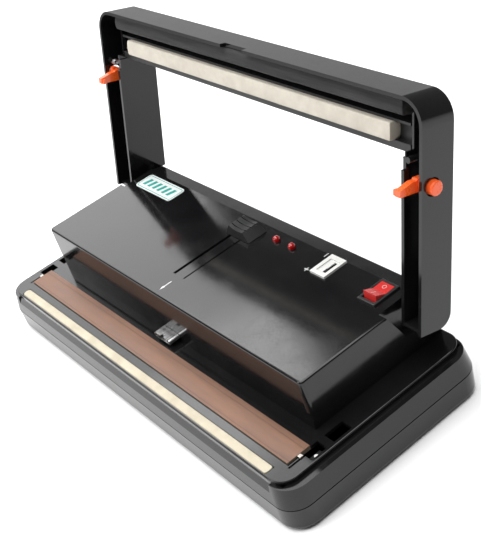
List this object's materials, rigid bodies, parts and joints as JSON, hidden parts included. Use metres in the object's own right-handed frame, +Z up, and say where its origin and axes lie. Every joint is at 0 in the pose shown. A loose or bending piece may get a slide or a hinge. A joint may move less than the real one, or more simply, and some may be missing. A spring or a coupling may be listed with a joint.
{
  "type": "household vacuum bag sealer with impulse sealing bar",
  "caption": "Tabletop bag sealer: hinged lid frame with soft bars, heated sealing strip, sliding vacuum nozzle, rocker switch, timer and side latches.",
  "frame": {"origin": "on the surface the feet stand on, under the middle of the object with its lid open", "axes": "+X along the sealing bar to the operator's right, +Y away from the operator, +Z up"},
  "size_m": [0.347, 0.176, 0.1921],
  "materials": {
    "black_plastic": "moulded ABS, glossy",
    "black_satin": "satin moulding",
    "black_rubber": "matt rubber",
    "black_sponge": "closed-cell sponge",
    "cream_foam": "soft foam",
    "cream_silicone": "silicone rubber",
    "brown_ptfe": "PTFE-coated glass cloth",
    "heater_bar": "heat-proof board",
    "nichrome": "rolled ribbon",
    "steel": "plated",
    "nozzle_metal": "flattened tube",
    "orange_plastic": "moulded",
    "red_plastic": "moulded",
    "red_lamp": "diffused resin",
    "white_plastic": "moulded",
    "grey_label": "blank film plate",
    "green_board": "glass laminate",
    "core_steel": "laminated",
    "coil_wrap": "taped winding",
    "hose_rubber": "soft tube"
  },
  "bodies": {
    "base": {"lower_case": "black_plastic", "upper_case": "black_plastic", "housing_cover": "black_plastic", "switch_bezel": "black_satin", "pump_cradle": "black_satin", "timer_pot": "black_satin", "lid_switch": "black_satin", "relay": "black_satin", "capacitor": "black_satin", "rubber_feet": "black_rubber", "lead_bushing": "black_rubber", "foam_strip": "cream_foam", "ptfe_tape": "brown_ptfe", "heater_base": "heater_bar", "heating_ribbon": "nichrome", "case_screws": "steel", "hinge_pin_left": "steel", "hinge_pin_right": "steel", "ribbon_spring_left": "steel", "ribbon_spring_right": "steel", "pump_motor": "steel", "switch_terminals": "steel", "lamp_vacuum": "red_lamp", "lamp_sealing": "red_lamp", "timer_plate": "white_plastic", "vacuum_pump": "white_plastic", "label_plate": "grey_label", "circuit_board": "green_board", "panel_board": "green_board", "transformer_core": "core_steel", "transformer_coil": "coil_wrap", "air_hose": "hose_rubber"},
    "lid": {"lid_frame": "black_plastic", "lid_sponge": "black_sponge", "silicone_bar": "cream_silicone", "bar_holder": "black_satin", "latch_spring_left": "steel", "latch_spring_right": "steel"},
    "latch_right": {"latch_right": "orange_plastic"},
    "latch_left": {"latch_left": "orange_plastic"},
    "nozzle_slider": {"nozzle": "nozzle_metal", "nozzle_carriage": "black_satin", "slider_knob": "black_satin"},
    "rocker": {"power_rocker": "red_plastic"},
    "timer": {"timer_lever": "black_satin"},
    "plunger": {"switch_plunger": "white_plastic"}
  },
  "joints": [
    {"name": "lid_hinge", "type": "hinge", "parent": "base", "child": "lid", "pos_m": [0, 0.04901, 0.0541], "axis": [-1, 0, 0], "range_deg": [-105.7, 0]},
    {"name": "latch_right_press", "type": "hinge", "parent": "lid", "child": "latch_right", "pos_m": [0.1634, 0.05592, 0.14409], "axis": [0, 0.2706, 0.9627], "range_deg": [0, 8], "stiffness_Nm_per_rad": 0.05, "springref_deg": -5.73},
    {"name": "latch_left_press", "type": "hinge", "parent": "lid", "child": "latch_left", "pos_m": [-0.1634, 0.05592, 0.14409], "axis": [0, -0.2706, -0.9627], "range_deg": [0, 8], "stiffness_Nm_per_rad": 0.05, "springref_deg": -5.73},
    {"name": "nozzle_slide", "type": "slide", "parent": "base", "child": "nozzle_slider", "axis": [0, -1, 0], "range_m": [0, 0.044]},
    {"name": "power_switch", "type": "hinge", "parent": "base", "child": "rocker", "pos_m": [0.1279, 0.03531, 0.068], "axis": [1, 0, 0], "range_deg": [0, 24]},
    {"name": "timer_slide", "type": "slide", "parent": "base", "child": "timer", "axis": [0, 1, 0], "range_m": [0, 0.007]},
    {"name": "lid_switch_press", "type": "slide", "parent": "base", "child": "plunger", "axis": [0, 0, -1], "range_m": [0, 0.0009], "stiffness_N_per_m": 100, "springref_m": -0.001}
  ]
}
